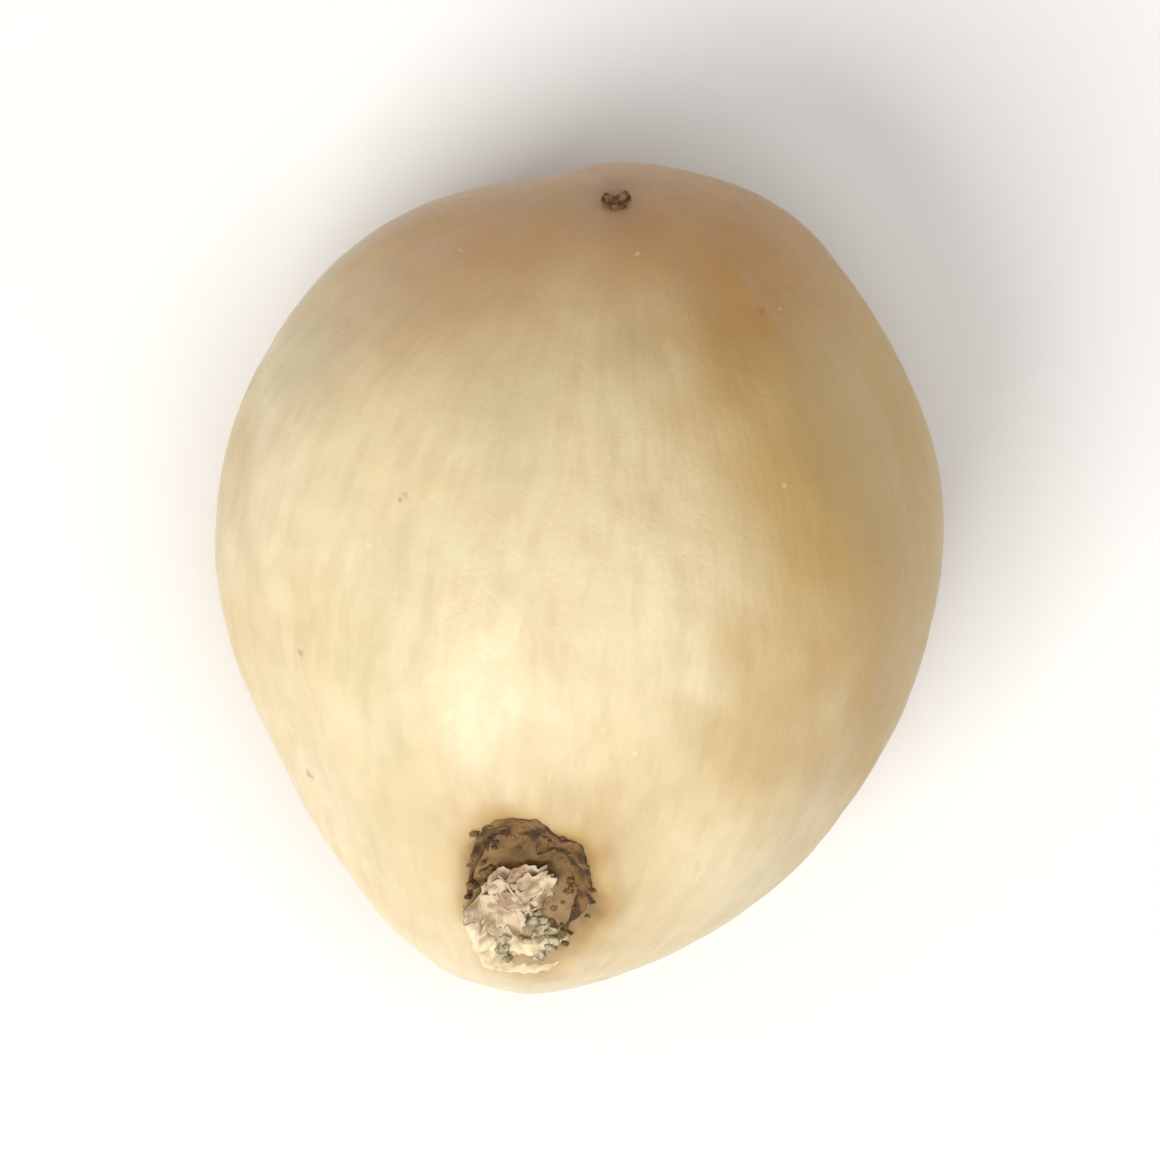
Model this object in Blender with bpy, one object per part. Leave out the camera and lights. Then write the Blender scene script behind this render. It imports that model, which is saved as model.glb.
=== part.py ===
"""A whole sorghum grain, threshed and loose, lying on its germ side with its hilum up.

The grain is one body. Its long axis is Y, with the base tip towards -Y and the crown towards +Y. X is
across and Z is up. The origin is on the surface that the grain lies on, under the middle of its box.
All lengths are metres.
"""
import math

import bmesh
import bpy
import numpy as np
from mathutils import Matrix

NAME = "sorghum_grain"

# Driving dimensions
LENGTH = 0.0047  # base tip to crown
WIDTH = 0.0041  # across the widest place
THICKNESS = 0.0031  # the face it lies on to the top of the hilum side

# Outline seen from above, as shares of half the length or width
FULLNESS = (1.0, 0.14, -0.08)  # width against an ellipse: constant, growth to the crown, loss at both ends
BASE_BEND = -0.13  # the base tip leans this far sideways
CROWN_BEND = 0.09  # and the crown this far the other way
CROWN_SWELL = 0.26  # how much the very top of the crown is broader than an ellipse
SQUARENESS = 0.025  # how far the section stands out of an ellipse between its axes

# Side view, as shares of the thickness
HILUM_SIDE = 0.55  # height of the hilum side above the side edge
HILUM_SIDE_FULLNESS = (1.0, 0.02, -0.02)
GERM_SIDE_FULLNESS = (1.0, 0.12, -0.06)
BASE_DROOP = 0.05  # the base tip lies this much lower than the side edge
LYING_CUT = 0.00020  # how deep the flat under the grain cuts into its round belly

# Flats pressed into the grain while it grew: facing direction, distance, softness
PRESSED_FLATS = (
    ((0.80, 0.38, 0.46), 0.93, 0.55),
    ((-0.86, -0.34, 0.38), 0.94, 0.50),
    ((-0.55, 0.72, 0.42), 0.95, 0.45),
    ((0.70, -0.62, -0.35), 0.94, 0.50),
)

# Hilum: a round pit with a raised lip, on the upper side near the base tip
HILUM_X = -0.00030
HILUM_Y = -0.00169
HILUM_WIDTH = 0.00076
HILUM_LENGTH = 0.00086
HILUM_DEPTH = 0.00013
HILUM_LIP = 0.00003
HILUM_WALL = (0.40, 1.15)  # where the pit's wall ends and starts, in pit radii
LIP_AT = 1.40
LIP_SPREAD = 0.40

# Germ: an oval sunk area on the lower side, from the base tip to past the middle. The ridge along it is as
# high as the seed coat around it, so the grain lies on that too
GERM_Y = -0.00095
GERM_WIDTH = 0.00160
GERM_LENGTH = 0.00250
GERM_DEPTH = 0.00007
GERM_WALL = (0.65, 1.05)  # where the sunk area's wall ends and starts, in germ radii
RIDGE_SPREAD = 0.00032

# Crown: the low stub that the two styles leave
STYLE_WIDTH = 0.00060
STYLE_HEIGHT = 0.00004

# Mesh
SEGMENTS = 76
RINGS = 42
BASE_CROWDING = 0.40  # how much closer the rings lie at the base tip, where the small features are
SHARP_ANGLE = math.radians(40)

# Finish: cream seed coat
SEED_COAT_COLOUR = (0.76, 0.60, 0.37, 1.0)
SEED_COAT_ROUGHNESS = 0.48


def clear_scene():
    for thing in list(bpy.data.objects):
        bpy.data.objects.remove(thing, do_unlink=True)


def unit_ball():
    """A closed ball of radius 1 with its poles on Y, as a bmesh."""
    ball = bmesh.new()
    turned = Matrix.Rotation(math.radians(90), 4, "X")
    bmesh.ops.create_uvsphere(ball, u_segments=SEGMENTS, v_segments=RINGS, radius=1.0, matrix=turned)
    return ball


def polynomial(terms, value):
    return terms[0] + terms[1] * value + terms[2] * value**2


def smooth_step(start, end, value):
    """0 before start, 1 after end, and a smooth rise between them."""
    share = np.clip((value - start) / (end - start), 0.0, 1.0)
    return share * share * (3.0 - 2.0 * share)


def flattened(ball):
    """The ball's points with each pressed flat pushed in along its facing direction."""
    pressed = ball.copy()
    for facing, distance, softness in PRESSED_FLATS:
        facing = np.array(facing) / np.linalg.norm(facing)
        beyond = np.maximum(pressed @ facing - distance, 0.0)
        pressed -= softness * beyond[:, None] * facing
    return pressed


def grain_surface(ball):
    """Ball points to grain points: an ovoid whose width, sides and middle line change along Y."""
    ring_angle = np.arccos(np.clip(-ball[:, 1], -1.0, 1.0))
    ring_angle -= BASE_CROWDING * np.sin(ring_angle)
    around = np.arctan2(ball[:, 2], ball[:, 0])
    reach = np.sin(ring_angle)
    sphere = np.stack([reach * np.cos(around), -np.cos(ring_angle), reach * np.sin(around)], axis=1)
    across, along, up = flattened(sphere).T

    squared = 1.0 + SQUARENESS * np.sin(2.0 * around) ** 2
    squared *= 1.0 + CROWN_SWELL * np.maximum(along, 0.0) ** 8
    x = across * squared * polynomial(FULLNESS, along) + middle_line(along)
    hilum_side = HILUM_SIDE * polynomial(HILUM_SIDE_FULLNESS, along)
    germ_side = (1.0 - HILUM_SIDE) * polynomial(GERM_SIDE_FULLNESS, along)
    z = up * squared * np.where(up > 0.0, hilum_side, germ_side) - BASE_DROOP * np.maximum(-along, 0.0) ** 2
    return scaled_to(np.stack([x, along, z], axis=1), (WIDTH, LENGTH, THICKNESS + LYING_CUT))


def middle_line(along):
    """How far the grain's middle line leans sideways, from -1 at the base tip to 1 at the crown."""
    return BASE_BEND * np.maximum(-along, 0.0) ** 4 + CROWN_BEND * np.maximum(along, 0.0) ** 6


def scaled_to(points, sizes):
    """The points scaled on each axis to the given box and centred on the origin."""
    low = points.min(axis=0)
    high = points.max(axis=0)
    return (points - (low + high) / 2.0) * np.array(sizes) / (high - low)


def outward(points):
    """Each point's direction away from the grain, as on an ellipsoid of the same size."""
    half = np.array([WIDTH, LENGTH, THICKNESS]) / 2.0
    normal = points / half**2
    return normal / np.linalg.norm(normal, axis=1)[:, None]


def beside_middle(points):
    """How far each point is to the side of the grain's middle line."""
    return points[:, 0] - middle_line(points[:, 1] / (LENGTH / 2.0)) * WIDTH / 2.0


def hilum_relief(points):
    """Height of the hilum's pit and lip over the plain upper side."""
    distance = 2.0 * np.hypot((points[:, 0] - HILUM_X) / HILUM_WIDTH, (points[:, 1] - HILUM_Y) / HILUM_LENGTH)
    pit = HILUM_DEPTH * (1.0 - smooth_step(*HILUM_WALL, distance))
    lip = HILUM_LIP * np.exp(-(((distance - LIP_AT) / LIP_SPREAD) ** 2))
    return np.where(points[:, 2] > 0.0, lip - pit, 0.0)


def germ_sunk(points):
    """How far the germ is sunk into the lower side: least on the crest of the ridge along it."""
    aside = beside_middle(points)
    distance = 2.0 * np.hypot(aside / GERM_WIDTH, (points[:, 1] - GERM_Y) / GERM_LENGTH)
    sunk = GERM_DEPTH * (1.0 - smooth_step(*GERM_WALL, distance))
    ridge = np.exp(-((aside / RIDGE_SPREAD) ** 2))
    return np.where(points[:, 2] < 0.0, sunk * (1.0 - ridge), 0.0)


def style_relief(points):
    """Height of the low stub at the crown."""
    distance = 2.0 * np.hypot(beside_middle(points), points[:, 2]) / STYLE_WIDTH
    return np.where(points[:, 1] > 0.0, STYLE_HEIGHT * np.exp(-(distance**2)), 0.0)


def lying(points):
    """The points lowered until the flat under the grain is at z = 0, and centred over the origin."""
    set_down = points.copy()
    set_down[:, 2] -= points[:, 2].min() + LYING_CUT
    set_down[:, 2] = np.maximum(set_down[:, 2], 0.0)
    low = set_down.min(axis=0)
    high = set_down.max(axis=0)
    set_down[:, :2] -= (low + high)[:2] / 2.0
    return set_down * np.array([WIDTH, LENGTH, THICKNESS]) / (high - low)


def grain_points(ball):
    """Ball points to finished points: hilum and stub, then the flat it lies on, and the germ sunk in that."""
    plain = grain_surface(ball)
    relief = hilum_relief(plain) + style_relief(plain)
    points = lying(plain + relief[:, None] * outward(plain))
    points[:, 2] += germ_sunk(plain)
    return points


def seed_coat():
    material = bpy.data.materials.new("seed_coat")
    material.use_nodes = True
    shader = material.node_tree.nodes["Principled BSDF"]
    shader.inputs["Base Color"].default_value = SEED_COAT_COLOUR
    shader.inputs["Roughness"].default_value = SEED_COAT_ROUGHNESS
    shader.inputs["Metallic"].default_value = 0.0
    material.diffuse_color = SEED_COAT_COLOUR
    return material


def make_grain():
    ball = unit_ball()
    points = grain_points(np.array([vertex.co for vertex in ball.verts]))
    for vertex, point in zip(ball.verts, points):
        vertex.co = point
    bmesh.ops.triangulate(ball, faces=ball.faces)
    bmesh.ops.recalc_face_normals(ball, faces=ball.faces)
    mesh = bpy.data.meshes.new(NAME)
    ball.to_mesh(mesh)
    ball.free()
    mesh.shade_smooth()
    mesh.set_sharp_from_angle(angle=SHARP_ANGLE)
    mesh.materials.append(seed_coat())
    return bpy.data.objects.new(NAME, mesh)


def main():
    clear_scene()
    collection = bpy.data.collections.new(NAME)
    bpy.context.scene.collection.children.link(collection)
    collection.objects.link(make_grain())


main()
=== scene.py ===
"""The looks of one loose sorghum grain, lying on its germ side with the hilum up.

The seed coat is one fine closed surface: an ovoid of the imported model's own length, width and thickness,
with pressed flats, dents, wrinkles, the hilum pit and the sunk germ worked out as heights over it. On it
sit the dark crust in the hilum, the torn papery plug in the pit, a pale torn collar and crumbs of dry
tissue on its base side, the torn scar at the base tip and the stubs of the styles at the crown. Lengths
are metres, Y runs from base tip to crown and Z is up.
"""
import math

import bpy
import numpy as np
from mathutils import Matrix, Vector


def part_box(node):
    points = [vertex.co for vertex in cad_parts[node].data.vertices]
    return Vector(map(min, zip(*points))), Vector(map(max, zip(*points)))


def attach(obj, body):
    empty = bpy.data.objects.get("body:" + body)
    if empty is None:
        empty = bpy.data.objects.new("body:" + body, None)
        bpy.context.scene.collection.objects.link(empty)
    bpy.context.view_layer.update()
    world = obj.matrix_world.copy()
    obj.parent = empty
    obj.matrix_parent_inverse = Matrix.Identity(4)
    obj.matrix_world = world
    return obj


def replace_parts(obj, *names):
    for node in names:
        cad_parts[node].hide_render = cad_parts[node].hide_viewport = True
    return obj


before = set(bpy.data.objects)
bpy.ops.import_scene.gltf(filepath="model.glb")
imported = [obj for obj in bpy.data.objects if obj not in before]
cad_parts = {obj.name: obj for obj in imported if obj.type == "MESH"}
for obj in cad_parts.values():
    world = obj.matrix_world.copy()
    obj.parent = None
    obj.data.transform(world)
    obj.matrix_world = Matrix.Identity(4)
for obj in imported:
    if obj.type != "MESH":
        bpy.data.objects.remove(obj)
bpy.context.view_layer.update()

GRAIN = "sorghum_grain"
MM = 0.001
LOW, HIGH = (np.array(corner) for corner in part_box(GRAIN))
SIZE = HIGH - LOW
WIDTH, LENGTH, THICKNESS = SIZE
HALF = SIZE / 2.0

# Outline and side view of the plain ovoid, as shares of half the length, half the width or the thickness
FULLNESS = (1.0, 0.14, -0.08)  # width against an ellipse: constant, growth to the crown, loss at both ends
BASE_BEND = -0.13  # how far the base tip leans sideways
CROWN_BEND = 0.09  # and the crown, the other way
CROWN_SWELL = 0.26  # how much the very top of the crown is broader than an ellipse
SQUARENESS = 0.025  # how far the section stands out of an ellipse between its axes
HILUM_SIDE = 0.55  # how much of the thickness is above the side edge
HILUM_SIDE_FULLNESS = (1.0, 0.02, -0.02)
GERM_SIDE_FULLNESS = (1.0, 0.12, -0.06)
BASE_DROOP = 0.05  # how much lower than the side edge the base tip lies
LYING_CUT = 0.20 * MM  # how deep the flat that it lies on cuts into its round belly
LYING_EDGE = 0.020 * MM  # how softly the skin bends into that flat

# Flats pressed into the grain while it grew: facing direction, distance, softness
PRESSED_FLATS = (
    ((0.80, 0.38, 0.46), 0.93, 0.55),
    ((-0.86, -0.34, 0.38), 0.94, 0.50),
    ((-0.55, 0.72, 0.42), 0.95, 0.45),
    ((0.70, -0.62, -0.35), 0.94, 0.50),
)
PRESSED_EDGE = 0.03  # how softly the skin bends into a pressed flat, as a share of the ball

# Mesh of the seed coat
BODY_RINGS = 304
BODY_COLUMNS = 304
BASE_CROWDING = 0.42  # how much closer the rings lie at the base
TOP_CROWDING = 0.30  # and the columns on top

# Hilum pit
HILUM = np.array([-0.30, -1.70]) * MM  # its middle, seen from above
HILUM_HALF = np.array([0.37, 0.43]) * MM
HILUM_DEPTH = 0.13 * MM
HILUM_WALL = (0.62, 1.04)  # where the pit's wall ends and starts, in rim distances
HILUM_LIP = 0.024 * MM
LIP_AT = 1.22
LIP_SPREAD = 0.22

# Germ, on the lower side
GERM_Y = -0.95 * MM
GERM_HALF = np.array([0.80, 1.25]) * MM
GERM_DEPTH = 0.07 * MM
GERM_WALL = (0.62, 1.10)  # where the sunk area's wall ends and starts, in germ radii
GERM_RIDGE = 0.32 * MM  # spread of the ridge along it

# Crown, where the styles stood
STYLE_HALF = 0.30 * MM  # spread of the swelling
STYLE_HEIGHT = 0.04 * MM
STYLE_SCAR = np.array([0.20, 2.13]) * MM  # seen from above
LENGTHWAYS = np.array([0.085, 0.905, 0.417])  # on the unit ball, from the middle to the styles' scar
BASE_SCAR = np.array([-0.31, -2.13, -0.79]) * MM  # on the plain ovoid, where that line leaves it again


def smooth_step(start, end, value):
    """0 before start, 1 after end, and between them 3s^2 - 2s^3 of the share s of the way."""
    share = np.clip((value - start) / (end - start), 0.0, 1.0)
    return share * share * (3.0 - 2.0 * share)


def bell(middle, spread, value):
    """e to the minus square of the distance from the middle, in spreads."""
    return np.exp(-(((value - middle) / spread) ** 2))


def polynomial(terms, value):
    """First term, plus the second times the value, plus the third times its square."""
    return terms[0] + terms[1] * value + terms[2] * value**2


def unit(vector):
    """The vector at length 1."""
    return np.array(vector) / np.linalg.norm(vector)


def in_plan(x, y):
    """Points of a plan, at height 0."""
    return np.stack([x, y, 0.0 * x], axis=-1)


def wave_field(points, length, count, seed):
    """A smooth random height of about -2 to 2: sine waves of one length that run in random directions from
    random phases, summed, and divided by the root of half their number."""
    random = np.random.default_rng(seed)
    heading = random.normal(size=(count, 3))
    heading /= np.linalg.norm(heading, axis=1)[:, None]
    phase = random.uniform(0.0, 2.0 * math.pi, count)
    return np.sin(points @ heading.T * (2.0 * math.pi / length) + phase).sum(-1) / math.sqrt(count / 2.0)


def ball_grid(rings, columns):
    """Rows of points round a unit ball, from the base pole at -Y to the crown pole at +Y.

    The ring angle r runs evenly between the poles, less a share of sin r, which crowds rings at the base.
    The angle round, a, runs evenly plus a share of cos a, which crowds columns on top. A point is
    (sin r cos a, -cos r, sin r sin a)."""
    ring = np.linspace(0.0, math.pi, rings + 2)[1:-1]
    ring = (ring - BASE_CROWDING * np.sin(ring))[:, None]
    turn = np.arange(columns) * 2.0 * math.pi / columns
    around = (turn + TOP_CROWDING * np.cos(turn))[None, :]
    height = np.broadcast_to(-np.cos(ring), (rings, columns))
    return np.stack([np.sin(ring) * np.cos(around), height, np.sin(ring) * np.sin(around)], axis=-1)


def over_zero(value, edge):
    """Half of the value plus the root of its square plus the edge's square: the value itself well over zero,
    almost nothing well under it, and a soft bend between."""
    return (value + np.sqrt(value**2 + edge**2)) / 2.0


def pressed(ball):
    """Ball points beyond each flat's distance are pushed back by its softness along its facing direction."""
    for facing, distance, softness in PRESSED_FLATS:
        beyond = over_zero(ball @ unit(facing) - distance, PRESSED_EDGE)
        ball = ball - softness * beyond[..., None] * unit(facing)
    return ball


def middle_line(along):
    """Sideways lean of the middle line: the fourth power of the way to the base, the sixth to the crown."""
    return BASE_BEND * np.maximum(-along, 0.0) ** 4 + CROWN_BEND * np.maximum(along, 0.0) ** 6


def raw_grain(ball):
    """The ovoid before it is scaled: width times a polynomial of the way along, upper and lower half each
    with its own height, the section a little squared, the base drooping with the square of the way to it."""
    around = np.arctan2(ball[..., 2], ball[..., 0])
    across, along, up = np.moveaxis(pressed(ball), -1, 0)
    squared = 1.0 + SQUARENESS * np.sin(2.0 * around) ** 2
    squared = squared * (1.0 + CROWN_SWELL * np.maximum(along, 0.0) ** 8)
    x = across * squared * polynomial(FULLNESS, along) + middle_line(along)
    hilum_side = HILUM_SIDE * polynomial(HILUM_SIDE_FULLNESS, along)
    germ_side = (1.0 - HILUM_SIDE) * polynomial(GERM_SIDE_FULLNESS, along)
    z = up * squared * np.where(up > 0.0, hilum_side, germ_side) - BASE_DROOP * np.maximum(-along, 0.0) ** 2
    return np.stack([x, along, z], axis=-1)


def box_of(points):
    """Lowest and highest corner of the points' box."""
    flat = points.reshape(-1, 3)
    return flat.min(axis=0), flat.max(axis=0)


BODY_BALL = ball_grid(BODY_RINGS, BODY_COLUMNS)
RAW_LOW, RAW_HIGH = box_of(raw_grain(BODY_BALL))
PLAIN_SIZE = np.array([WIDTH, LENGTH, THICKNESS + LYING_CUT])


def plain_grain(ball):
    """The ovoid in metres, centred on the middle of its box."""
    return (raw_grain(ball) - (RAW_LOW + RAW_HIGH) / 2.0) * PLAIN_SIZE / (RAW_HIGH - RAW_LOW)


def outward(plain):
    """Direction away from the grain: that of an ellipsoid's surface at the same place."""
    away = plain / HALF**2
    return away / np.linalg.norm(away, axis=-1)[..., None]


def beside_middle(plain):
    """Distance to the side of the leaning middle line."""
    return plain[..., 0] - middle_line(plain[..., 1] / HALF[1]) * HALF[0]


def pit_rim(angle):
    """How far out the uneven rim of the pit is at an angle, in pit radii: one plus a few cosines."""
    rim = 1.0 + 0.05 * np.cos(2.0 * angle + 1.1) + 0.035 * np.cos(3.0 * angle - 0.6)
    return rim + 0.02 * np.cos(7.0 * angle + 2.0)


def hilum_place(plain):
    """Distance from the hilum's middle as a share of the way to its rim, and the angle round it."""
    offset = (plain[..., :2] - HILUM) / HILUM_HALF
    angle = np.arctan2(offset[..., 1], offset[..., 0])
    return np.hypot(offset[..., 0], offset[..., 1]) / pit_rim(angle), angle


def upper_side(plain):
    """0 below the side edge, rising to 1 over the first third of a millimetre above it."""
    return smooth_step(0.04 * MM, 0.36 * MM, plain[..., 2])


def hilum_relief(plain):
    """A pit that is deepest and steepest on the crown side, a lip that is highest on the base side, lumps
    on the pit's floor, and fine puckers that run out from the lip."""
    distance, angle = hilum_place(plain)
    crownward = np.sin(angle - 0.35)
    pit = HILUM_DEPTH * (1.0 - smooth_step(*HILUM_WALL, distance))
    pit = pit * (1.0 + 0.12 * crownward * np.minimum(distance, 1.0))
    floor = 0.007 * MM * wave_field(plain, 0.17 * MM, 24, 11)
    floor = floor + 0.003 * MM * wave_field(plain, 0.08 * MM, 24, 12)
    floor = floor * (1.0 - smooth_step(0.8, 1.1, distance))
    lip = HILUM_LIP * bell(LIP_AT, LIP_SPREAD, distance) * (1.0 - 0.45 * crownward)
    puckers = np.cos(13.0 * angle + 1.5 * np.sin(2.0 * angle)) + 0.7 * np.cos(22.0 * angle + 1.0)
    puckers = 0.0030 * MM * puckers * bell(1.36, 0.36, distance)
    return upper_side(plain) * (lip - pit + floor + puckers)


def germ_place(plain):
    """Distance from the germ's middle in germ radii, and distance beside the grain's middle line."""
    aside = beside_middle(plain)
    return np.hypot(aside / GERM_HALF[0], (plain[..., 1] - GERM_Y) / GERM_HALF[1]), aside


def germ_sunk(plain):
    """Depth of the germ: a shelving oval with a faint groove inside its border and a ridge along it, both
    only on the lower side."""
    distance, aside = germ_place(plain)
    sunk = GERM_DEPTH * (1.0 - smooth_step(*GERM_WALL, distance))
    groove = 0.10 * GERM_DEPTH * bell(0.72, 0.10, distance)
    lower_side = smooth_step(-0.20 * MM, -1.10 * MM, plain[..., 2])
    return lower_side * (sunk * (1.0 - bell(0.0, GERM_RIDGE, aside)) + groove)


def scar_distance(plain):
    """Distance from where the styles stood, seen from above."""
    return np.linalg.norm(plain[..., :2] - STYLE_SCAR, axis=-1)


def style_relief(plain):
    """A low swelling at the crown, with a small dimple in it where the styles stood."""
    distance = np.hypot(beside_middle(plain), plain[..., 2]) / STYLE_HALF
    swelling = np.where(plain[..., 1] > 0.0, STYLE_HEIGHT * bell(0.0, 1.0, distance), 0.0)
    dimple = 0.020 * MM * bell(0.0, 0.10 * MM, scar_distance(plain))
    return swelling - np.where(plain[..., 2] > 0.0, dimple, 0.0)


def meridian(ball):
    """Way along the line from the base end to the styles' scar, reach out from it, and a place on the skin
    for what runs along it: cosine and sine of the angle round it, and between them a third of the way."""
    ahead = unit(LENGTHWAYS)
    aside = unit(np.array([1.0, 0.0, 0.0]) - ahead[0] * ahead)
    along, across, up = ball @ ahead, ball @ aside, ball @ np.cross(aside, ahead)
    reach = np.hypot(across, up)
    place = np.stack([across / (reach + 0.01), 0.35 * along, up / (reach + 0.01)], axis=-1)
    return along, reach, place


def flat_borders(ball):
    """A soft ridge round each pressed flat: a bell of how far past the flat's distance the point faces."""
    ridges = 0.0
    for facing, distance, _ in PRESSED_FLATS:
        ridges = ridges + bell(0.0, 0.024, ball @ unit(facing) - distance)
    return ridges


def skin_relief(ball, plain):
    """Broad dents, fine pebbling, wrinkles from end to end that deepen towards both ends, soft ridges round
    the pressed flats, and on each side a shallow valley inside the side edge with a ridge outside it."""
    dents = 0.0065 * wave_field(plain, 1.7 * MM, 14, 3) + 0.0036 * wave_field(plain, 0.75 * MM, 18, 4)
    pebbles = 0.0007 * wave_field(plain, 0.19 * MM, 40, 5) + 0.0011 * wave_field(plain, 0.36 * MM, 24, 6)
    along, reach, place = meridian(ball)
    ends = 0.25 + 1.3 * np.maximum(-along, 0.0) ** 6 + 2.0 * np.maximum(along, 0.0) ** 6
    ends = ends * np.maximum(1.0 + 0.6 * wave_field(plain, 1.2 * MM, 14, 13), 0.1)
    wrinkles = 0.0014 * wave_field(place, 0.17, 40, 7) + 0.0008 * wave_field(place, 0.09, 40, 8)
    wrinkles = wrinkles * smooth_step(0.16, 0.55, reach) + 0.0022 * wave_field(place, 0.45, 24, 10)
    wrinkles = wrinkles * ends * smooth_step(0.02, 0.30, reach)
    sides = smooth_step(0.40, 0.75, np.abs(ball[..., 0]))
    valley = 0.012 * bell(0.17, 0.08, ball[..., 2]) - 0.022 * bell(0.40, 0.11, ball[..., 2])
    borders = 0.0035 * flat_borders(ball) * (1.0 + 0.5 * wave_field(plain, 1.1 * MM, 14, 9))
    return (dents + pebbles + wrinkles + borders + sides * valley) * MM


def raised(ball, lift):
    """Plain points, and the same points moved outward by all the relief and a lift."""
    plain = plain_grain(ball)
    relief = skin_relief(ball, plain) + hilum_relief(plain) + style_relief(plain) + lift
    return plain, plain + relief[..., None] * outward(plain)


def resting_place(points):
    """Height of the surface that the grain lies on, and the box of the points above it."""
    floor = points[..., 2].min() + LYING_CUT
    kept = np.maximum(points - np.array([0.0, 0.0, floor]), np.array([-1.0, -1.0, 0.0]))
    return floor, box_of(kept)


BODY_PLAIN, BODY_RAISED = raised(BODY_BALL, np.zeros(BODY_BALL.shape[:2]))
REST_FLOOR, (REST_LOW, REST_HIGH) = resting_place(BODY_RAISED)


def set_down(plain, points):
    """The points on the surface: what would be under it is bent up softly to it. Then they are scaled to the
    packed box, and the germ is sunk in."""
    height = over_zero(points[..., 2] - REST_FLOOR, LYING_EDGE)
    middle = (REST_LOW + REST_HIGH) / 2.0
    placed = np.stack([points[..., 0] - middle[0], points[..., 1] - middle[1], height], axis=-1)
    placed = placed * SIZE / (REST_HIGH - REST_LOW)
    placed[..., 2] += germ_sunk(plain)
    return placed + np.array([*(LOW + HIGH)[:2] / 2.0, LOW[2]])


def out_of_plane(first, second):
    """Third part of a place on the unit ball: the root of 1 less the squares of the other two, kept from
    falling under a tenth."""
    return np.sqrt(np.maximum(1.0 - first**2 - second**2, 0.01))


def skin_over(x, y, lift):
    """Points on the upper skin over x, y, raised by a lift. The ball point is found by starting from the
    shares of the half width and length and taking most of the miss off again, a dozen times."""
    across, along = x / HALF[0], y / HALF[1]
    for _ in range(12):
        plain = plain_grain(np.stack([across, along, out_of_plane(across, along)], axis=-1))
        across = across - 0.8 * (plain[..., 0] - x) / HALF[0]
        along = along - 0.8 * (plain[..., 1] - y) / HALF[1]
    ball = np.stack([across, along, out_of_plane(across, along)], axis=-1)
    return set_down(*raised(ball, lift))


def skin_before(x, z, lift):
    """Points on the skin of the base end, raised by a lift: the ball point has x as a share of half the
    width, z as a share of half the thickness, and faces the base."""
    across, up = x / HALF[0], z / HALF[2]
    ball = np.stack([across, -out_of_plane(across, up), up], axis=-1)
    return set_down(*raised(ball, lift))


def with_ends(grid):
    """The grid's rows as one list, followed by the middle of the first row and of the last."""
    flat = grid.reshape(-1, *grid.shape[2:])
    return np.concatenate([flat, grid[0].mean(axis=0)[None], grid[-1].mean(axis=0)[None]])


def grid_faces(rows, columns):
    """Quads that join each row to the next, round the shape, and a fan that closes each end."""
    here = np.arange(rows * columns).reshape(rows, columns)
    beside = np.roll(here, -1, axis=1)
    quads = np.stack([here[:-1], here[1:], beside[1:], beside[:-1]], axis=-1).reshape(-1, 4)
    first = np.full(columns, rows * columns)
    fans = [np.stack([here[0], beside[0], first], -1), np.stack([beside[-1], here[-1], first + 1], -1)]
    return quads, np.concatenate(fans)


def volume_of(points, triangles):
    """Volume inside the triangles: a sixth of the sum of each one's corner products."""
    a, b, c = (points[triangles[:, k]] for k in range(3))
    return np.einsum("ij,ij->i", a, np.cross(b, c)).sum() / 6.0


def closed_piece(name, grids, material, marks=()):
    """One mesh of one or more closed grids, each turned to face outward, with its marks as attributes."""
    points, faces, start = [], [], 0
    for grid in grids:
        here = with_ends(grid)
        quads, fans = grid_faces(*grid.shape[:2])
        halves = np.concatenate([quads[:, [0, 1, 2]], quads[:, [0, 2, 3]], fans])
        if volume_of(here - here[0], halves) < 0.0:
            quads, fans = quads[:, ::-1], fans[:, ::-1]
        faces += (quads + start).tolist() + (fans + start).tolist()
        points.append(here)
        start += len(here)
    mesh = bpy.data.meshes.new(name)
    mesh.from_pydata(np.concatenate(points), [], faces)
    for mark_name, values in dict(marks).items():
        values = with_ends(values).astype(np.float32)
        kind, field = ("FLOAT_VECTOR", "vector") if values.ndim > 1 else ("FLOAT", "value")
        mesh.attributes.new(mark_name, kind, "POINT").data.foreach_set(field, values.ravel())
    mesh.shade_smooth()
    mesh.materials.append(material)
    piece = bpy.data.objects.new(name, mesh)
    bpy.context.scene.collection.objects.link(piece)
    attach(piece, "root")
    return piece


def whole_turn(count):
    """Angles once round, as one row."""
    return (np.arange(count) * 2.0 * math.pi / count)[None, :]


def over_pit(out, angle):
    """Plan place at a distance out from the hilum's middle, in rim distances, and an angle round it."""
    out = out * pit_rim(angle)
    return HILUM[0] + HILUM_HALF[0] * out * np.cos(angle), HILUM[1] + HILUM_HALF[1] * out * np.sin(angle)


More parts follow.
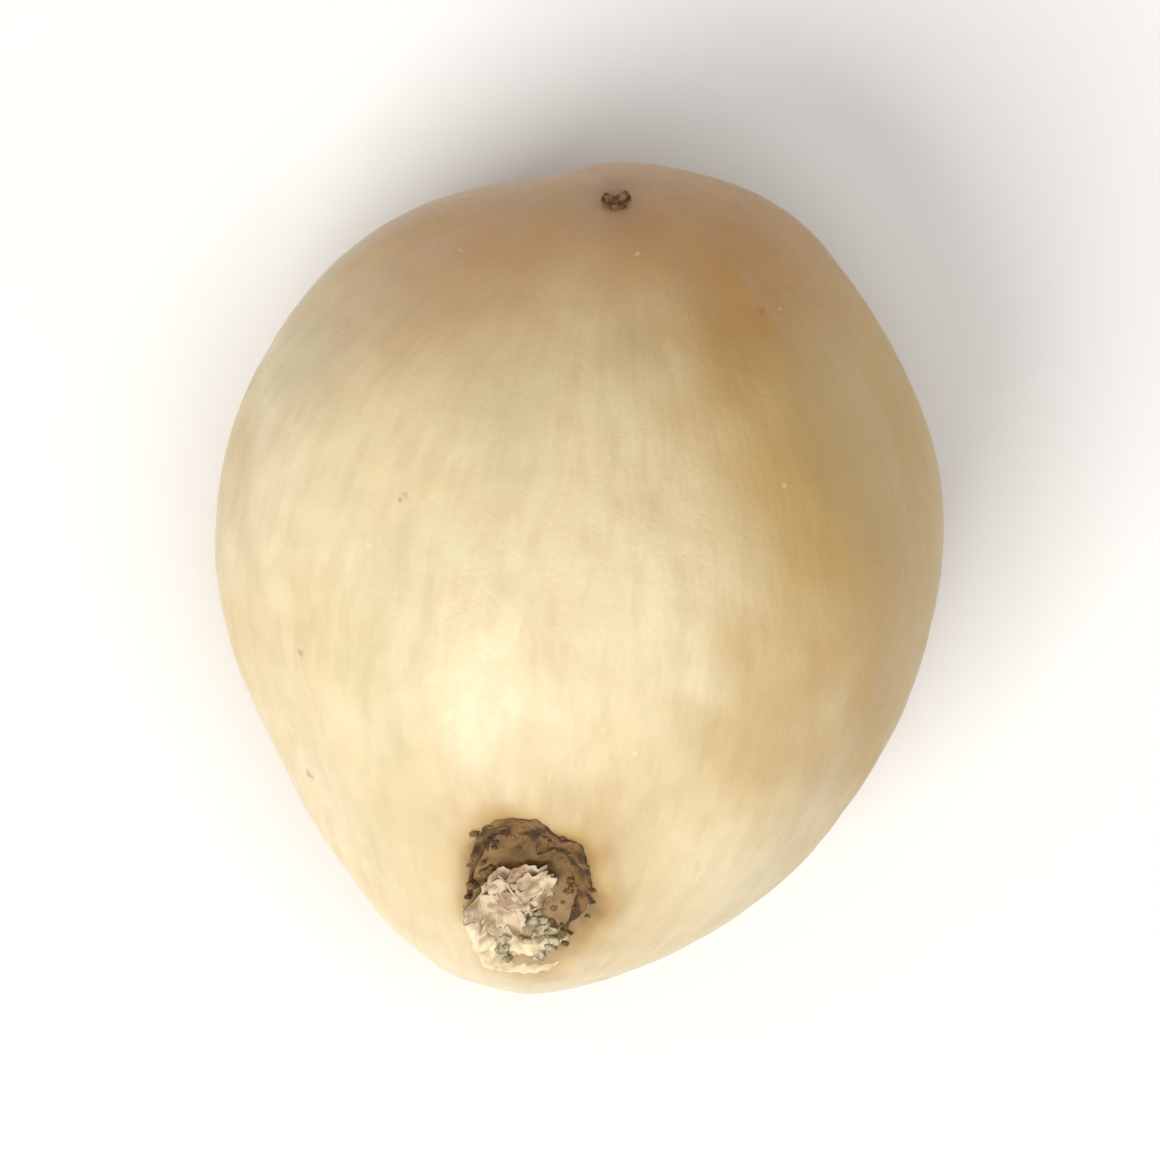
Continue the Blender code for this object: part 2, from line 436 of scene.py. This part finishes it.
def band_grid(start, end, reach, width, height, seed):
    """A closed band of tissue that lies on the skin along an arc round the hilum.

    Each row is a loop: an oval as wide as the band, across the arc, whose upper half stands up by the
    height. Width and height shrink to the arc's ends as a power of a sine, and wander with wave fields."""
    steps, sides = 130, 30
    share = np.linspace(0.0, 1.0, steps)[:, None]
    turn = whole_turn(sides)
    angle = start + (end - start) * share
    taper = np.sin(math.pi * (0.02 + 0.96 * share)) ** 0.8
    arc = in_plan(np.cos(angle), np.sin(angle))
    uneven = 1.0 + 0.24 * wave_field(arc, 0.55, 12, seed) + 0.12 * wave_field(arc, 0.16, 16, seed + 4)
    middle = reach + 0.035 * wave_field(arc, 0.8, 12, seed + 1)
    x, y = over_pit(middle + width * taper * uneven * np.cos(turn), angle)
    place = in_plan(x, y)
    lumps = 1.0 + 0.32 * wave_field(place, 0.12 * MM, 24, seed + 2)
    lumps = lumps + 0.22 * wave_field(place, 0.05 * MM, 24, seed + 3)
    rise = np.sin(turn)
    lift = taper * height * np.where(rise > 0.0, rise * np.maximum(lumps, 0.15), 0.8 * rise)
    return skin_over(x, y, lift)


def flake_grid(skin, middle, half, turn, height, curl, seed):
    """A thin torn flake on the skin, as rows from the middle of its underside out to its edge and back over
    its top.

    Its plan is an oval whose edge wanders by cosines, is ragged by a wave field round it and is notched by
    the size of a sine. It rises to one side with the square of the way out, is crinkled by wave fields and
    thins to its edge."""
    steps, sides = 18, 120
    phase = np.random.default_rng(seed).uniform(0.0, 2.0 * math.pi, 6)
    out = np.concatenate([np.linspace(0.04, 1.0, steps), np.linspace(1.0, 0.04, steps)[1:]])[:, None]
    angle = whole_turn(sides)
    edge = 1.0 + 0.11 * np.cos(2.0 * angle + phase[0]) + 0.06 * np.cos(3.0 * angle + phase[1])
    edge = edge + 0.07 * wave_field(in_plan(np.cos(angle), np.sin(angle)), 0.28, 16, seed + 3)
    edge = edge + 0.03 * np.cos(6.0 * angle + phase[2])
    edge = edge - 0.08 * np.abs(np.sin(3.5 * angle + phase[3])) ** 5
    edge = edge - 0.06 * np.abs(np.sin(8.0 * angle + phase[4])) ** 3
    along, aside = half[0] * edge * out * np.cos(angle), half[1] * edge * out * np.sin(angle)
    x = (middle[0] + along * math.cos(turn) - aside * math.sin(turn)) * MM
    y = (middle[1] + along * math.sin(turn) + aside * math.cos(turn)) * MM
    place = in_plan(x, y)
    crinkle = 0.010 * wave_field(place, 0.17 * MM, 20, seed + 1)
    crinkle = crinkle + 0.004 * wave_field(place, 0.06 * MM, 24, seed + 2)
    thick = 0.006 * np.sqrt(1.0 - 0.96 * out**2)
    upper = np.where((np.arange(len(out)) >= steps)[:, None], thick, -thick)
    lift = height + curl * out**2 * np.cos(angle - phase[5]) + crinkle + upper
    return skin(x, y, lift * MM)


def thread_grid(path, radii):
    """A tube along a path: an uneven circle of the given radius at each point, square to the path there."""
    ahead = np.gradient(path, axis=0)
    ahead /= np.linalg.norm(ahead, axis=1)[:, None]
    side = np.cross(ahead, np.array([0.0, 0.0, 1.0]))
    side /= np.linalg.norm(side, axis=1)[:, None]
    third = np.cross(ahead, side)
    sides = 14
    around = whole_turn(sides)[0, :, None]
    uneven = 1.0 + 0.14 * np.cos(3.0 * around + 1.0)
    ring = np.cos(around) * side[:, None] + np.sin(around) * third[:, None]
    return path[:, None] + radii[:, None, None] * uneven * ring


def fibre_grid(skin, start, end, bow, height, radius):
    """A fibre over the skin between two places: it bows sideways and rises as a sine of the way along, and
    thins towards its end."""
    steps = 18
    way = np.linspace(0.0, 1.0, steps)
    start, end = np.array(start), np.array(end)
    across = np.array([start[1] - end[1], end[0] - start[0]])
    arch = np.sin(math.pi * way)
    plan = start + (end - start) * way[:, None] + bow * arch[:, None] * across
    lift = height[0] + (height[1] - height[0]) * way + 0.03 * arch
    path = skin(plan[:, 0] * MM, plan[:, 1] * MM, lift * MM)
    return thread_grid(path, radius * (1.0 - 0.6 * way) * MM)


def crumb_grid(middle, radius, seed):
    """A small lump: a ball whose radius swells and shrinks with wave fields, flattened a little."""
    rings, columns = 10, 18
    ring = np.linspace(0.0, math.pi, rings + 2)[1:-1, None]
    around = whole_turn(columns)
    tall = np.broadcast_to(np.cos(ring), (rings, columns))
    ball = np.stack([np.sin(ring) * np.cos(around), np.sin(ring) * np.sin(around), tall], axis=-1)
    swell = 1.0 + 0.24 * wave_field(ball, 1.9, 10, seed) + 0.14 * wave_field(ball, 0.8, 14, seed + 100)
    return middle + radius * swell[..., None] * ball * np.array([1.2, 0.9, 0.7])


def band_grids(bands):
    """A table of bands: start and end in degrees, reach and width in rim distances, height in mm, seed."""
    return [band_grid(math.radians(start), math.radians(end), reach, width, height * MM, seed)
            for start, end, reach, width, height, seed in bands]


def torn_grids(skin, flakes, fibres, seed):
    """A table of flakes (middle, half lengths, turn, height, curl) and one of fibres (start, end, bow,
    heights of both ends, radius). Turns are radians, bows are shares of the length, and the rest is mm."""
    grids = [flake_grid(skin, *flake, seed + 5 * k) for k, flake in enumerate(flakes)]
    return grids + [fibre_grid(skin, *fibre) for fibre in fibres]


def crumb_grids(middles, radii, seed):
    """A crumb at each middle, the seeds counting up."""
    return [crumb_grid(middle, radius, seed + k) for k, (middle, radius) in enumerate(zip(middles, radii))]


def wire(tree, kind, sockets, **settings):
    """Adds a node, with its settings and what goes into its sockets: a value or another node's output."""
    node = tree.nodes.new(kind)
    for name, value in settings.items():
        setattr(node, name, value)
    for socket, value in sockets.items():
        if isinstance(value, bpy.types.NodeSocket):
            tree.links.new(value, node.inputs[socket])
        else:
            node.inputs[socket].default_value = value
    return node


def effect_group(name, takes, gives):
    """An empty node group with its named inputs and outputs, and its two end nodes."""
    group = bpy.data.node_groups.new(name, "ShaderNodeTree")
    for socket, (kind, value) in takes.items():
        made = group.interface.new_socket(name=socket, in_out="INPUT", socket_type=kind)
        if value is not None:
            made.default_value = value
    for socket, kind in gives.items():
        group.interface.new_socket(name=socket, in_out="OUTPUT", socket_type=kind)
    return group, group.nodes.new("NodeGroupInput"), group.nodes.new("NodeGroupOutput")


def math_node(tree, operation, first, second):
    """One step of arithmetic."""
    return wire(tree, "ShaderNodeMath", {0: first, 1: second}, operation=operation).outputs[0]


def stepped(tree, value, start, end, low=0.0, high=1.0):
    """A smooth rise from low to high as the value goes from start to end."""
    sockets = {"Value": value, "From Min": start, "From Max": end, "To Min": low, "To Max": high}
    return wire(tree, "ShaderNodeMapRange", sockets, interpolation_type="SMOOTHSTEP").outputs["Result"]


def noise(tree, vector, size, detail, roughness=0.55):
    """Noise with features of about the given size, which is a number or another node's output."""
    scale = math_node(tree, "DIVIDE", 1.0, size) if isinstance(size, bpy.types.NodeSocket) else 1.0 / size
    sockets = {"Vector": vector, "Scale": scale, "Detail": detail, "Roughness": roughness}
    return wire(tree, "ShaderNodeTexNoise", sockets).outputs[0]


def mixed(tree, factor, first, second):
    """The second colour laid over the first by a factor. Inputs 6 and 7 and output 2 are the colour ones."""
    return wire(tree, "ShaderNodeMix", {0: factor, 6: first, 7: second}, data_type="RGBA").outputs[2]


def colour(red, green, blue):
    """A colour given as it looks on a screen, 0 to 255, as the linear values that shaders take."""
    screen = np.array([red, green, blue]) / 255.0
    linear = np.where(screen <= 0.04045, screen / 12.92, ((screen + 0.055) / 1.055) ** 2.4)
    return (*linear.tolist(), 1.0)


def make_speck_group():
    """Scattered round specks: the cells of a Voronoi pattern, each with a disc of the given size round its
    point, kept in the given share of the cells."""
    takes = {
        "Vector": ("NodeSocketVector", None),
        "Spacing": ("NodeSocketFloat", 0.0004),
        "Speck Size": ("NodeSocketFloat", 0.12),
        "Share": ("NodeSocketFloat", 0.3),
    }
    group, start, end = effect_group("scattered_specks", takes, {"Mask": "NodeSocketFloat"})
    ragged = noise(group, start.outputs["Vector"], 0.033 * MM, 0.0)
    nudge = math_node(group, "MULTIPLY", ragged, 0.06 * MM)
    place = wire(group, "ShaderNodeVectorMath", {0: start.outputs["Vector"], 1: nudge}, operation="ADD")
    scale = math_node(group, "DIVIDE", 1.0, start.outputs["Spacing"])
    cells = wire(group, "ShaderNodeTexVoronoi", {"Vector": place.outputs[0], "Scale": scale})
    outer = math_node(group, "MULTIPLY", start.outputs["Speck Size"], 2.2)
    disc = stepped(group, cells.outputs["Distance"], outer, start.outputs["Speck Size"])
    red = wire(group, "ShaderNodeSeparateColor", {0: cells.outputs["Color"]}).outputs[0]
    chosen = math_node(group, "LESS_THAN", red, start.outputs["Share"])
    group.links.new(math_node(group, "MULTIPLY", disc, chosen), end.inputs["Mask"])
    return group


def make_tissue_group():
    """Uneven dry tissue: broad noise as patches, and broad and fine noise together as a height."""
    takes = {"Vector": ("NodeSocketVector", None), "Patch Size": ("NodeSocketFloat", 0.0004)}
    gives = {"Patches": "NodeSocketFloat", "Height": "NodeSocketFloat"}
    group, start, end = effect_group("dry_tissue", takes, gives)
    size = start.outputs["Patch Size"]
    broad = noise(group, start.outputs["Vector"], size, 1.5)
    fine = noise(group, start.outputs["Vector"], math_node(group, "MULTIPLY", size, 0.18), 1.0, 0.65)
    half = math_node(group, "MULTIPLY", broad, 0.5)
    group.links.new(stepped(group, broad, 0.36, 0.64), end.inputs["Patches"])
    group.links.new(math_node(group, "ADD", half, fine), end.inputs["Height"])
    return group


SPECKS = make_speck_group()
TISSUE = make_tissue_group()


def grouped(tree, group, sockets):
    """A node that uses a shared group."""
    return wire(tree, "ShaderNodeGroup", sockets, node_tree=group)


def new_finish(name, settings):
    """A material with a Principled shader whose plain values are set on its own sockets."""
    material = bpy.data.materials.new(name)
    material.use_nodes = True
    shader = material.node_tree.nodes["Principled BSDF"]
    for socket, value in settings.items():
        shader.inputs[socket].default_value = value
    return material, material.node_tree, shader


def mark(tree, name, output="Fac"):
    """An attribute that the mesh carries."""
    node = wire(tree, "ShaderNodeAttribute", {}, attribute_type="GEOMETRY", attribute_name=name)
    return node.outputs[output]


def share_of(tree, value, share):
    """A mask weakened to a share of itself."""
    return math_node(tree, "MULTIPLY", value, share)


def laid_over(tree, tone, mask, share, over):
    """A screen colour laid over a tone by a share of a mask."""
    return mixed(tree, share_of(tree, mask, share), tone, colour(*over))


def speck_mask(tree, place, spacing, size, share):
    """Scattered specks, their size as a share of the spacing, in a share of the places for them."""
    sockets = {"Vector": place, "Spacing": spacing, "Speck Size": size, "Share": share}
    return grouped(tree, SPECKS, sockets).outputs["Mask"]


def object_place(tree):
    """Places in metres on the object."""
    return tree.nodes.new("ShaderNodeTexCoord").outputs["Object"]


def bumped(tree, shader, height, distance):
    """Relief too fine for the mesh, its depth in metres."""
    bump = wire(tree, "ShaderNodeBump", {"Height": height, "Distance": distance, "Strength": 1.0})
    tree.links.new(bump.outputs["Normal"], shader.inputs["Normal"])


# Broad tones laid over the cream one after another: mark on the mesh, share of it, colour on a screen
BROAD_TONES = (
    ("chalk", 0.30, (240, 229, 198)),
    # painted shade: a tan band on the right flank, a darker left edge and darker low sides
    ("painted_flank_shade", 0.82, (188, 149, 74)),
    # the crown's own tan, with painted shade over the crown as well
    ("crown_tan_and_shade", 0.84, (178, 126, 66)),
    # painted light over the base end: a cream set for how that end is lit
    ("painted_base_light", 0.40, (228, 208, 166)),
    ("germ_tone", 0.60, (184, 158, 108)),
    ("germ_edge", 0.45, (160, 124, 74)),
    ("tip_tan", 0.50, (184, 146, 92)),
)
# Last tones, laid over streaks and specks too: mark on the mesh, colour on a screen
SCAR_TONES = (
    ("scar_tan", (140, 92, 58)),
    # the tan ring round the hilum, with painted shade round the pit as well, most on its crown side
    ("hilum_halo_and_shade", (172, 132, 62)),
    # the hilum's dark stain, with painted shade in the pit as well, most on its crown side
    ("hilum_stain_and_shade", (104, 76, 44)),
)


def seed_coat_finish():
    """Cream seed coat: mottled with warm and grey-green patches, painted light over the base end, its own
    tan at the crown with painted shade there too, painted shade on the flanks and low sides, streaked from
    end to end, speckled, and stained dark in and round the hilum, with painted shade in and round the pit as
    well."""
    settings = {
        "Subsurface Weight": 0.16,
        "Subsurface Radius": (1.0, 0.65, 0.35),
        "Subsurface Scale": 0.25 * MM,
        "Coat Roughness": 0.28,
        "Specular IOR Level": 0.5,
    }
    material, tree, shader = new_finish("seed_coat", settings)
    place = object_place(tree)
    lines = mark(tree, "meridian", "Vector")
    lined = mark(tree, "lined")
    tissue = grouped(tree, TISSUE, {"Vector": place, "Patch Size": 0.9 * MM})
    small = grouped(tree, TISSUE, {"Vector": place, "Patch Size": 0.20 * MM})

    tone = laid_over(tree, colour(228, 213, 174), tissue.outputs["Patches"], 0.5, (218, 196, 148))
    grey = stepped(tree, noise(tree, place, 0.7 * MM, 1.0), 0.50, 0.70, 0.0, 0.38)
    tone = mixed(tree, grey, tone, colour(204, 198, 156))
    for name, share, over in BROAD_TONES:
        tone = laid_over(tree, tone, mark(tree, name), share, over)
    tone = laid_over(tree, tone, small.outputs["Patches"], 0.12, (196, 168, 116))
    streaks = stepped(tree, noise(tree, lines, 0.06, 2.0), 0.42, 0.68, 0.0, 0.14)
    tone = laid_over(tree, tone, streaks, lined, (176, 142, 92))

    freckles = speck_mask(tree, place, 0.50 * MM, 0.042, 0.16)
    tone = laid_over(tree, tone, freckles, 0.45, (136, 92, 52))
    dust = speck_mask(tree, place, 0.16 * MM, 0.060, 0.14)
    tone = laid_over(tree, tone, dust, 0.30, (244, 236, 214))
    for name, over in SCAR_TONES:
        tone = mixed(tree, mark(tree, name), tone, colour(*over))
    tree.links.new(tone, shader.inputs["Base Color"])

    # The hilum's dark stain with the painted shade in and round the pit; it also sets roughness, coat and
    # bump there
    stain_with_shade = mark(tree, "hilum_stain_and_shade")
    rough = stepped(tree, small.outputs["Height"], 0.5, 1.0, 0.40, 0.54)
    rough = math_node(tree, "ADD", rough, share_of(tree, mark(tree, "chalk"), 0.14))
    rough = math_node(tree, "ADD", rough, share_of(tree, stain_with_shade, 0.35))
    tree.links.new(rough, shader.inputs["Roughness"])
    tree.links.new(stepped(tree, stain_with_shade, 0.0, 0.6, 0.20, 0.0), shader.inputs["Coat Weight"])
    scratches = share_of(tree, noise(tree, lines, 0.022, 0.0), share_of(tree, lined, 0.8))
    pebbled = share_of(tree, small.outputs["Height"], stepped(tree, stain_with_shade, 0.0, 1.0, 1.0, 7.0))
    bumped(tree, shader, math_node(tree, "ADD", scratches, pebbled), 0.0026 * MM)
    return material


def tissue_finish(name, light, dark, patch, depth, glow=None):
    """Dry torn tissue between two screen colours, matt, its fine relief of the given depth. Thin tissue also
    glows: light spreads in it as far as the glow says. Patch, depth and glow are millimetres."""
    settings = {"Specular IOR Level": 0.35}
    if glow is not None:
        settings.update({"Subsurface Weight": 0.2, "Subsurface Scale": glow * MM})
    material, tree, shader = new_finish(name, settings)
    tissue = grouped(tree, TISSUE, {"Vector": object_place(tree), "Patch Size": patch * MM})
    tone = mixed(tree, tissue.outputs["Patches"], colour(*light), colour(*dark))
    tree.links.new(tone, shader.inputs["Base Color"])
    tree.links.new(stepped(tree, tissue.outputs["Height"], 0.5, 1.0, 0.6, 0.85), shader.inputs["Roughness"])
    bumped(tree, shader, tissue.outputs["Height"], depth * MM)
    return material


def make_seed_coat():
    """The whole outer skin, with marks for its material: places to be pale, tan, stained or streaked, and
    places where light and shade are painted.
    """
    ball, plain = BODY_BALL, BODY_PLAIN
    across, _, up = np.moveaxis(ball, -1, 0)
    along, reach, lines = meridian(ball)
    wander = 0.07 * wave_field(plain, 1.3 * MM, 16, 21) + 0.03 * wave_field(plain, 0.4 * MM, 24, 22)
    on_top = upper_side(plain)
    # Towards the crown, for the crown's own tan and the painted shade over it
    crownward = 0.6 * along + 0.4 * ball[..., 1] + 0.45 * wander - 0.08 * across

    # Painted shade: a band on the right flank that lightens again at its very edge, a darker left edge and
    # darker low sides
    to_right = 0.95 * across + 0.40 * along + wander
    right_band = smooth_step(0.24, 0.86, to_right) * (1.0 - 0.25 * smooth_step(0.86, 0.98, across))
    left_rim = 0.36 * smooth_step(0.70, 1.0, -across + wander)
    underneath = 0.7 * smooth_step(0.10, -0.40, up)

    chalk = wave_field(plain, 0.9 * MM, 18, 23) + 0.35 * wave_field(plain, 0.30 * MM, 24, 24)
    germ = germ_place(plain)[0] + 0.4 * wander
    from_tip = np.linalg.norm(plain - BASE_SCAR, axis=-1) + 0.5 * MM * wander
    from_styles = scar_distance(plain)
    scar = 0.6 * bell(0.0, 0.10 * MM, from_styles) + 0.2 * bell(0.0, 0.30 * MM, from_styles)

    # The hilum's halo and stain are strongest on its crown side: its own tan ring and dark tissue, with
    # painted shade in and round the pit as well
    distance, angle = hilum_place(plain)
    dark_side = 0.5 + 0.5 * np.sin(angle + 0.15)
    halo_with_shade = (0.40 + 0.15 * dark_side) * smooth_step(1.45, 0.95, distance + 2.0 * wander)
    halo_with_shade = halo_with_shade + (0.16 + 0.32 * dark_side) * smooth_step(2.8, 1.0, distance + 2.0 * wander)
    stain_with_shade = (0.58 + 0.38 * dark_side) * smooth_step(1.18, 0.80, distance + 1.5 * wander)
    stain_with_shade = stain_with_shade * (0.92 + 0.08 * wave_field(plain, 0.12 * MM, 24, 25))
    marks = {
        "meridian": lines,
        "lined": smooth_step(0.12, 0.60, reach),
        # Painted light over the base end
        "painted_base_light": smooth_step(0.30, 0.95, -ball[..., 1] + wander),
        # The crown's own tan, with painted shade on the crown too
        "crown_tan_and_shade": smooth_step(0.48, 1.0, crownward),
        # Painted shade on the right flank, the left edge and the low sides
        "painted_flank_shade": np.maximum(right_band, np.maximum(left_rim, underneath)),
        "chalk": smooth_step(-0.4, 2.2, chalk) * smooth_step(0.7, 0.1, along),
        "germ_tone": (1.0 - smooth_step(0.86, 1.04, germ)) * (1.0 - on_top),
        "germ_edge": bell(0.98, 0.07, germ) * (1.0 - on_top) * smooth_step(0.12, 0.5, reach),
        "tip_tan": bell(0.0, 0.30 * MM, from_tip),
        "scar_tan": on_top * scar,
        # Halo and stain: the hilum's own tan ring and dark tissue, with painted shade round and in the pit
        "hilum_halo_and_shade": on_top * halo_with_shade,
        "hilum_stain_and_shade": on_top * stain_with_shade,
    }
    points = set_down(plain, BODY_RAISED)
    return closed_piece("seed_coat", [points], seed_coat_finish(), marks)


def make_hilum_crust():
    """The dark dead tissue on the pit's wall: lumpy bands round its crown side and right side, and crumbs of
    it along and beside them."""
    finish = tissue_finish("hilum_crust", (72, 52, 31), (132, 99, 58), 0.10, 0.010)
    bands = (
        (-58, 190, 0.87, 0.12, 0.024, 31),
        (-10, 150, 0.70, 0.13, 0.020, 36),
        (40, 120, 0.54, 0.10, 0.016, 92),
    )
    random = np.random.default_rng(71)
    count = 80
    angle = np.radians(random.uniform(-58.0, 190.0, count))
    x, y = over_pit(random.uniform(0.58, 0.99, count), angle)
    middles = skin_over(x, y, random.uniform(0.0, 0.014, count) * MM)
    radii = random.uniform(0.008, 0.022, count) * MM
    grids = band_grids(bands) + crumb_grids(middles, radii, 200)
    return closed_piece("hilum_crust", grids, finish)


def make_collar():
    """The pale torn edge of the pit on its base side: two low bands, one outside the other."""
    finish = tissue_finish("pale_collar", (232, 214, 180), (204, 178, 140), 0.09, 0.006, 0.05)
    bands = ((192, 298, 1.02, 0.10, 0.020, 81), (205, 314, 0.84, 0.07, 0.012, 85))
    return closed_piece("pale_collar", band_grids(bands), finish)


def make_base_scar():
    """The torn scar at the base tip: thin flakes pressed onto the skin, and short fibres that stand off."""
    finish = tissue_finish("base_scar", (222, 202, 160), (192, 162, 112), 0.12, 0.008, 0.04)
    flakes = (
        ((-0.150, -0.620), (0.330, 0.150), 0.10, 0.002, 0.010),
        ((-0.310, -0.560), (0.160, 0.090), -0.35, 0.010, 0.020),
        ((0.020, -0.590), (0.150, 0.085), 0.50, 0.012, 0.020),
        ((-0.170, -0.700), (0.190, 0.075), 0.05, 0.008, 0.022),
        ((-0.130, -0.560), (0.120, 0.060), 0.90, 0.016, 0.026),
    )
    fibres = (
        ((-0.37, -0.59), (-0.22, -0.68), 0.15, (0.006, 0.040), 0.0080),
        ((-0.02, -0.53), (0.10, -0.66), -0.12, (0.008, 0.034), 0.0075),
        ((-0.13, -0.56), (-0.07, -0.73), 0.14, (0.010, 0.046), 0.0080),
        ((-0.23, -0.64), (-0.32, -0.76), -0.16, (0.008, 0.030), 0.0070),
        ((0.03, -0.62), (-0.10, -0.62), 0.20, (0.008, 0.032), 0.0065),
    )
    return closed_piece("base_scar", torn_grids(skin_before, flakes, fibres, 301), finish)


def make_papery_plug():
    """What is left of the stalk's tissue in the pit: torn flakes that overlap, and loose fibres."""
    finish = tissue_finish("papery_plug", (216, 194, 164), (170, 140, 108), 0.08, 0.008, 0.04)
    flakes = (
        ((-0.365, -1.775), (0.230, 0.175), 0.3, 0.050, 0.026),
        ((-0.440, -1.860), (0.150, 0.100), -0.6, 0.068, 0.022),
        ((-0.290, -1.720), (0.150, 0.085), 0.4, 0.066, 0.020),
        ((-0.440, -1.700), (0.095, 0.080), 1.4, 0.060, 0.018),
        ((-0.350, -1.800), (0.110, 0.080), 2.4, 0.078, 0.020),
    )
    fibres = (
        ((-0.46, -1.65), (-0.30, -1.83), 0.10, (0.070, 0.090), 0.0060),
        ((-0.20, -1.74), (-0.44, -1.82), 0.10, (0.070, 0.095), 0.0055),
        ((-0.52, -1.76), (-0.34, -1.90), 0.12, (0.060, 0.080), 0.0060),
        ((-0.24, -1.83), (-0.40, -1.96), -0.10, (0.060, 0.060), 0.0055),
        ((-0.17, -1.66), (-0.30, -1.77), 0.16, (0.055, 0.080), 0.0050),
    )
    return closed_piece("papery_plug", torn_grids(skin_over, flakes, fibres, 41), finish)


def make_crumbs():
    """Crumbs of grey-green dry tissue lodged in the lower side of the pit, under the plug."""
    finish = tissue_finish("grey_crumbs", (204, 192, 160), (154, 140, 108), 0.04, 0.006)
    random = np.random.default_rng(51)
    count = 22
    x = HILUM[0] + random.uniform(-0.22, 0.16, count) * MM
    y = HILUM[1] + random.uniform(-0.40, -0.20, count) * MM
    middles = skin_over(x, y, random.uniform(0.006, 0.020, count) * MM)
    radii = random.uniform(0.014, 0.036, count) * MM
    return closed_piece("hilum_crumbs", crumb_grids(middles, radii, 60), finish)


def beside_styles(x, y):
    """Point on the skin at an offset in millimetres from where the styles stood."""
    return skin_over(*(STYLE_SCAR + np.array([x, y]) * MM), np.array(0.0))


def make_style_stubs():
    """What is left of the styles: a low lumpy nub in the dimple, and two short thick stubs that part from
    it, bend with the square of the way along and end blunt."""
    finish = tissue_finish("style_stubs", (134, 98, 64), (86, 60, 38), 0.04, 0.005)
    lumps = ((0.0, -0.005, 0.046), (-0.040, 0.008, 0.030), (0.042, 0.012, 0.032), (0.010, -0.045, 0.024))
    middles = [beside_styles(x, y) for x, y, _ in lumps]
    grids = crumb_grids(middles, [radius * MM for _, _, radius in lumps], 400)
    steps = 14
    way = np.linspace(0.0, 1.0, steps)[:, None]
    for side, reach, radius in ((-1.0, 0.9, 0.024), (1.0, 1.1, 0.026)):
        foot = beside_styles(side * 0.024, 0.0)
        rise = np.array([side * 0.020, 0.050 * reach, 0.040 * reach]) * MM
        path = foot + way * rise + way**2 * np.array([side * 0.018, -0.006, -0.008]) * MM
        grids.append(thread_grid(path, radius * (1.0 - 0.45 * way[:, 0]**2) * MM))
    return closed_piece("style_stubs", grids, finish)


def make_floor():
    """A pale floor: one square, wide enough to fill every view."""
    material, tree, shader = new_finish("pale_floor", {"Specular IOR Level": 0.2, "Roughness": 0.7})
    clouds = noise(tree, object_place(tree), 4.0 * MM, 0.0)
    tone = mixed(tree, clouds, colour(242, 241, 239), colour(238, 237, 235))
    tree.links.new(tone, shader.inputs["Base Color"])
    reach = 0.6
    corners = [(-reach, -reach, 0.0), (reach, -reach, 0.0), (reach, reach, 0.0), (-reach, reach, 0.0)]
    mesh = bpy.data.meshes.new("floor")
    mesh.from_pydata(corners, [], [(0, 1, 2, 3)])
    mesh.materials.append(material)
    floor = bpy.data.objects.new("floor", mesh)
    bpy.context.scene.collection.objects.link(floor)


def soft_light(name, place, size, power, tint):
    """A square soft light that faces the grain."""
    data = bpy.data.lights.new(name, "AREA")
    data.size = size
    data.energy = power
    data.color = tint
    light = bpy.data.objects.new(name, data)
    light.location = place
    light.rotation_euler = (-Vector(place)).to_track_quat("-Z", "Y").to_euler()
    bpy.context.scene.collection.objects.link(light)


def make_studio():
    """Soft key from the lower left of the view, a weak overhead fill, and an even pale surround."""
    soft_light("key", (-0.130, -0.160, 0.21), 0.18, 0.70, (1.0, 0.985, 0.96))
    soft_light("overhead", (0.05, -0.04, 0.30), 0.20, 0.38, (1.0, 1.0, 1.0))
    world = bpy.data.worlds.new("studio")
    world.use_nodes = True
    background = world.node_tree.nodes["Background"]
    background.inputs["Color"].default_value = (1.0, 0.99, 0.98, 1.0)
    background.inputs["Strength"].default_value = 0.33
    bpy.context.scene.world = world
    bpy.context.scene.view_settings.view_transform = "Standard"


def make_camera():
    """A long lens straight above the grain, with the crown at the top of the picture."""
    frame_height = 6.5 * MM
    data = bpy.data.cameras.new("camera")
    data.lens = 180.0
    data.sensor_width = 36.0
    data.clip_start = 0.001
    data.clip_end = 5.0
    camera = bpy.data.objects.new("camera", data)
    camera.location = (0.0, 0.0, THICKNESS / 2.0 + frame_height * data.lens / data.sensor_width)
    bpy.context.scene.collection.objects.link(camera)
    bpy.context.scene.camera = camera


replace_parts(make_seed_coat(), GRAIN)
make_hilum_crust()
make_collar()
make_papery_plug()
make_base_scar()
make_crumbs()
make_style_stubs()
make_floor()
make_studio()
make_camera()
